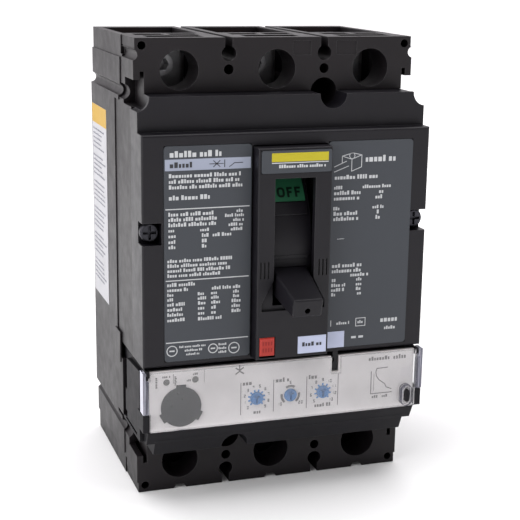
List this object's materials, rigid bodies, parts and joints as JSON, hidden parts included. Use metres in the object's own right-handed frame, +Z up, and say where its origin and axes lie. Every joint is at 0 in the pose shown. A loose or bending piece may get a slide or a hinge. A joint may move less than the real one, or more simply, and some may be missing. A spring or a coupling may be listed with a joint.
{
  "type": "molded case breaker",
  "caption": "Box-shaped molded case circuit breaker with a front toggle handle, trip button, adjusting dials under a hinged clear cover, cable lugs above and below, and working contacts.",
  "frame": {"origin": "centre of the flat rear mounting face", "axes": "+Z up with the line terminals at the top, -Y out through the front towards the handle, +X to the right seen from the front"},
  "size_m": [0.105, 0.1061, 0.163],
  "materials": {
    "case_black": "molded thermoset, fine matt texture",
    "cover_black": "molded thermoplastic, satin",
    "unit_black": "molded thermoplastic, dull",
    "plate_grey": "printed grey label stock",
    "sticker_white": "printed paper sticker",
    "label_stock": "printed paper label",
    "steel": "zinc plated steel",
    "screw_dark": "black plated steel",
    "copper": "bare copper",
    "silver": "silver alloy",
    "lug_aluminium": "tin plated aluminium",
    "rotor_resin": "molded resin",
    "cassette_resin": "molded resin",
    "transformer_black": "potted winding",
    "panel_light": "light grey molded panel",
    "socket_grey": "dark grey molded",
    "lamp_clear": "diffusing lens",
    "dial_blue": "molded blue",
    "clear": "transparent polycarbonate",
    "button_red": "molded red",
    "flag_green": "printed green flag",
    "flag_red": "printed red flag",
    "board_green": "solder mask"
  },
  "bodies": {
    "case": {"base_housing": "case_black", "mid_cover": "case_black", "lower_terminal_cover": "case_black", "accessory_cover": "cover_black", "escutcheon": "cover_black", "trip_unit_case": "unit_black", "nameplate_strip": "plate_grey", "left_rating_plate": "plate_grey", "right_rating_plate": "plate_grey", "rating_stickers": "sticker_white", "side_label": "label_stock", "cover_screws": "screw_dark", "lug_screws": "steel", "handle_pivot_pin": "steel", "mechanism_side_plates": "steel", "mechanism_spacers": "steel", "line_lugs": "lug_aluminium", "load_lugs": "lug_aluminium", "arc_splitter_plates": "steel", "fixed_contact_tips": "silver", "trip_panel": "panel_light", "test_socket": "socket_grey", "status_lamps": "lamp_clear", "trip_bar_bearings": "cassette_resin", "circuit_board": "board_green", "trip_actuator": "steel", "arc_cassette_a": "cassette_resin", "line_conductor_a": "copper", "load_conductor_a": "copper", "current_transformer_a": "transformer_black", "arc_cassette_b": "cassette_resin", "line_conductor_b": "copper", "load_conductor_b": "copper", "current_transformer_b": "transformer_black", "arc_cassette_c": "cassette_resin", "line_conductor_c": "copper", "load_conductor_c": "copper", "current_transformer_c": "transformer_black"},
    "handle": {"toggle_handle": "cover_black", "handle_shutter": "cover_black", "off_flag": "flag_green", "on_flag": "flag_red", "handle_yoke": "steel", "drive_pin": "steel"},
    "rotor": {"contact_rotor_a": "rotor_resin", "contact_rotor_b": "rotor_resin", "contact_rotor_c": "rotor_resin", "contact_bridge_a": "copper", "contact_bridge_b": "copper", "contact_bridge_c": "copper", "moving_contact_tips": "silver", "rotor_tie_rods": "steel"},
    "links": {"drive_links": "steel"},
    "trip_button": {"trip_button": "button_red"},
    "trip_bar": {"trip_bar": "cassette_resin"},
    "current_dial": {"current_dial": "dial_blue"},
    "class_dial": {"class_dial": "dial_blue"},
    "instant_dial": {"instant_dial": "dial_blue"},
    "clear_cover": {"clear_cover": "clear"}
  },
  "joints": [
    {"name": "handle_pivot", "type": "hinge", "parent": "case", "child": "handle", "pos_m": [0, -0.049, 0.009], "axis": [-1, 0, 0], "range_deg": [-2.5, 42]},
    {"name": "rotor_turn", "type": "hinge", "parent": "case", "child": "rotor", "pos_m": [0, -0.0237, 0.02], "axis": [-1, 0, 0], "range_deg": [-2.5, 42]},
    {"name": "link_pivot", "type": "hinge", "parent": "rotor", "child": "links", "pos_m": [0, -0.0332, 0.02], "axis": [-1, 0, 0], "range_deg": [-42, 2.5]},
    {"name": "trip_button_push", "type": "slide", "parent": "case", "child": "trip_button", "axis": [0, 1, 0], "range_m": [0, 0.002], "stiffness_N_per_m": 800, "springref_m": -0.001},
    {"name": "trip_bar_turn", "type": "hinge", "parent": "case", "child": "trip_bar", "pos_m": [0, -0.07, -0.025], "axis": [-1, 0, 0], "range_deg": [0, 35]},
    {"name": "current_dial_turn", "type": "hinge", "parent": "case", "child": "current_dial", "pos_m": [-0.0109, -0.085, -0.0439], "axis": [0, -1, 0], "range_deg": [-135, 135]},
    {"name": "class_dial_turn", "type": "hinge", "parent": "case", "child": "class_dial", "pos_m": [0.0018, -0.085, -0.0439], "axis": [0, -1, 0], "range_deg": [-120, 120]},
    {"name": "instant_dial_turn", "type": "hinge", "parent": "case", "child": "instant_dial", "pos_m": [0.0142, -0.085, -0.0439], "axis": [0, -1, 0], "range_deg": [-135, 135]},
    {"name": "clear_cover_hinge", "type": "hinge", "parent": "case", "child": "clear_cover", "pos_m": [0, -0.0852, -0.0314], "axis": [-1, 0, 0], "range_deg": [0, 90]}
  ],
  "couplings": [
    {"joint": "rotor_turn", "follows": "handle_pivot", "ratio": 1},
    {"joint": "link_pivot", "follows": "handle_pivot", "ratio": -1},
    {"joint": "trip_bar_turn", "follows": "trip_button_push", "rad_per_m": 302}
  ]
}
